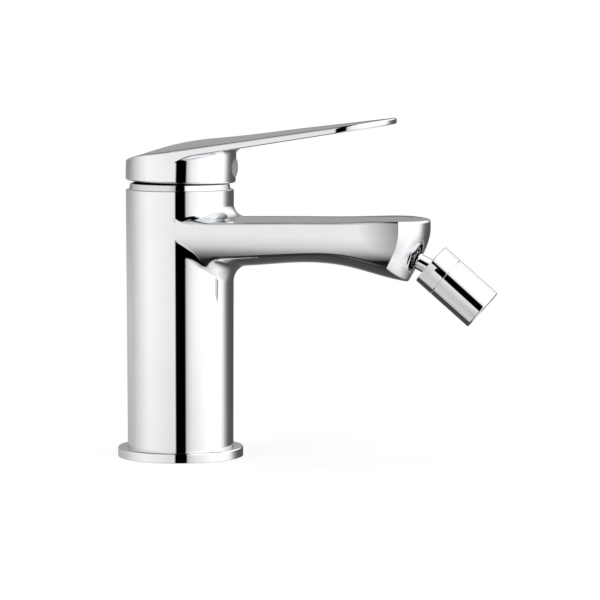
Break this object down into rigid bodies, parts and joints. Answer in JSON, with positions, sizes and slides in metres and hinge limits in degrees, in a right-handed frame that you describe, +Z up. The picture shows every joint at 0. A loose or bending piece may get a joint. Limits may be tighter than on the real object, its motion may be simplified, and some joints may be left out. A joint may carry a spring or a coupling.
{
  "type": "bidet mixer",
  "caption": "Deck-mounted single-lever bidet mixer with a round body, tapered spout, flat paddle lever and a swivelling ball-joint nozzle",
  "frame": {"origin": "centre of the foot, on the deck", "axes": "+Z up, +X forward along the spout, +Y to the left seen from behind the tap"},
  "size_m": [0.1643, 0.0542, 0.1464],
  "materials": {
    "chrome_plate": "mirror chrome plate",
    "plug_face": "satin chrome cap",
    "raw_brass": "turned, uncoated",
    "steel": "turned stainless",
    "black_rubber": "matt",
    "white_plastic": "moulded",
    "grey_plastic": "moulded",
    "disc_ceramic": "lapped"
  },
  "bodies": {
    "fixed": {"body_tube": "chrome_plate", "spout_arm": "chrome_plate", "hose_block": "raw_brass", "base_flange": "chrome_plate", "base_gasket": "black_rubber", "cartridge_base": "white_plastic", "port_seals": "black_rubber", "cartridge_case": "white_plastic", "case_oring": "black_rubber", "fixed_disc": "disc_ceramic", "retaining_nut": "raw_brass", "cover_ring": "chrome_plate", "ball_neck": "chrome_plate", "neck_seal": "black_rubber"},
    "turntable": {"swing_guide": "grey_plastic", "pivot_pin": "steel"},
    "lever": {"lever_stem": "steel", "lever_handle": "chrome_plate", "lever_set_screw": "steel", "index_plug": "plug_face"},
    "slider": {"disc_carrier": "grey_plastic", "moving_disc": "disc_ceramic"},
    "pitch_ring": {"rear_seat": "white_plastic"},
    "yaw_ring": {"front_seat": "white_plastic"},
    "nozzle": {"ball_housing": "chrome_plate", "nozzle_sleeve": "chrome_plate", "housing_oring": "black_rubber", "aerator_insert": "grey_plastic", "aerator_screen": "steel", "aerator_gasket": "black_rubber"}
  },
  "joints": [
    {"name": "lever_swing", "type": "hinge", "parent": "fixed", "child": "turntable", "pos_m": [0, 0, 0.1075], "axis": [0, 0, 1], "range_deg": [-45, 45]},
    {"name": "lever_lift", "type": "hinge", "parent": "turntable", "child": "lever", "pos_m": [0, 0, 0.1075], "axis": [0, -1, 0], "range_deg": [0, 22]},
    {"name": "disc_slide", "type": "slide", "parent": "turntable", "child": "slider", "axis": [1, 0, 0], "range_m": [0, 0.0045]},
    {"name": "nozzle_pitch", "type": "hinge", "parent": "fixed", "child": "pitch_ring", "pos_m": [0.11366, 0, 0.08021], "axis": [0, 1, 0], "range_deg": [-30.4, 3.6]},
    {"name": "nozzle_yaw", "type": "hinge", "parent": "pitch_ring", "child": "yaw_ring", "pos_m": [0.11366, 0, 0.08021], "axis": [0.6574, 0, 0.7536], "range_deg": [-12, 12]},
    {"name": "nozzle_spin", "type": "hinge", "parent": "yaw_ring", "child": "nozzle", "pos_m": [0.11366, 0, 0.08021], "axis": [0.7536, 0, -0.6574], "continuous": true}
  ],
  "couplings": [
    {"joint": "disc_slide", "follows": "lever_lift", "m_per_rad": 0.0115}
  ]
}
